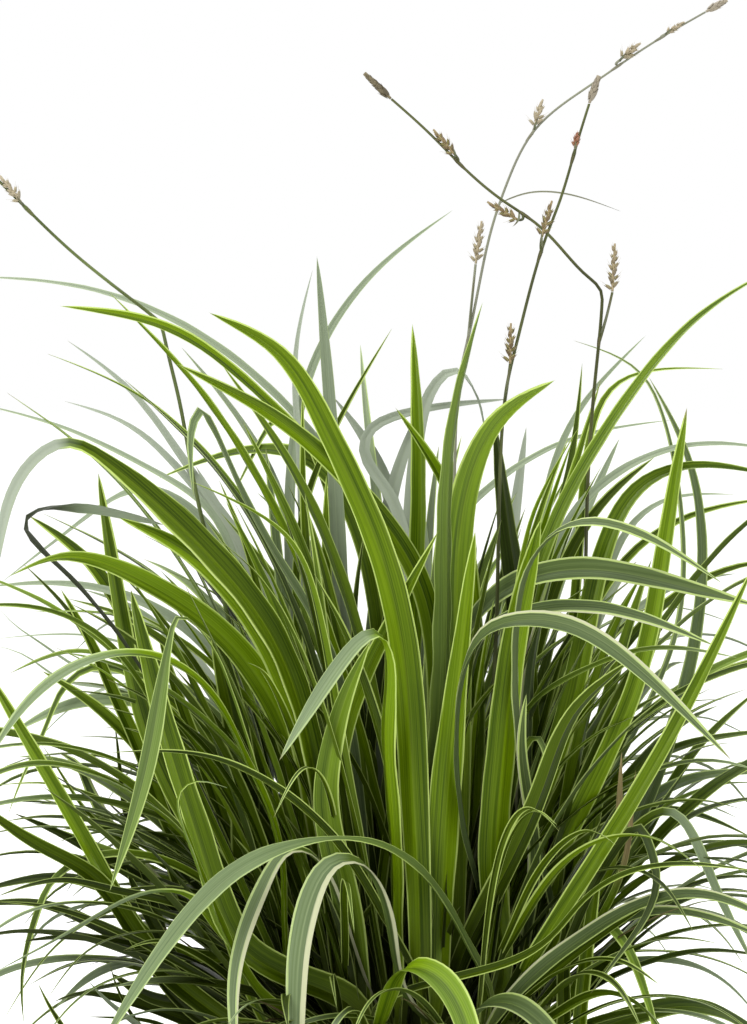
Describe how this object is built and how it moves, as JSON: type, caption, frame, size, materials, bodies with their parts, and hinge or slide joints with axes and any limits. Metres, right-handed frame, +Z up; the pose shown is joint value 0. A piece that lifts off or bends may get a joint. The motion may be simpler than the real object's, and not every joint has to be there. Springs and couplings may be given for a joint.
{
  "type": "potted carex sedge",
  "caption": "Clump of long arching cream-edged sedge leaves with thin flowering culms and small brown spikes, in a plain round growers' pot",
  "frame": {"origin": "centre of the pot's flat base, on the surface that it stands on", "axes": "+Z up along the pot's axis, -Y towards the front of the plant, +X to the right seen from the front"},
  "size_m": [0.5162, 0.4441, 0.6102],
  "materials": {
    "leaf": "smooth evergreen leaf, deep green with narrow cream margins, satin",
    "culm": "thin three-cornered stem, dull olive green, satin",
    "seed_spike": "dry tan and brown scales, matt",
    "pollen_spike": "dry dark brown scales, matt",
    "soil": "moist dark potting compost, matt",
    "pot": "moulded charcoal plastic, fine matt grain"
  },
  "bodies": {
    "root": {"pot": "pot", "soil": "soil", "culm_left": "culm", "spike_left_1": "pollen_spike", "spike_left_2": "seed_spike", "culm_front": "culm", "spike_front_1": "pollen_spike", "spike_front_2": "seed_spike", "spike_front_3": "seed_spike", "spike_front_4": "seed_spike", "culm_middle": "culm", "spike_middle_1": "pollen_spike", "spike_middle_2": "seed_spike", "spike_middle_3": "seed_spike", "spike_middle_4": "seed_spike", "culm_back": "culm", "spike_back_1": "pollen_spike", "spike_back_2": "seed_spike", "spike_back_3": "seed_spike", "spike_back_4": "seed_spike", "spike_back_5": "seed_spike", "shoot_01": "leaf", "shoot_02": "leaf", "shoot_03": "leaf", "shoot_04": "leaf", "shoot_05": "leaf", "shoot_06": "leaf", "shoot_07": "leaf", "shoot_08": "leaf", "shoot_09": "leaf", "shoot_10": "leaf", "shoot_11": "leaf", "shoot_12": "leaf", "shoot_13": "leaf", "shoot_14": "leaf", "shoot_15": "leaf", "shoot_16": "leaf", "shoot_17": "leaf", "shoot_18": "leaf", "shoot_19": "leaf", "shoot_20": "leaf", "shoot_21": "leaf", "shoot_22": "leaf", "shoot_23": "leaf", "shoot_24": "leaf", "shoot_25": "leaf", "shoot_26": "leaf", "shoot_27": "leaf", "shoot_28": "leaf", "shoot_29": "leaf", "shoot_30": "leaf", "shoot_31": "leaf", "shoot_32": "leaf"}
  },
  "joints": []
}
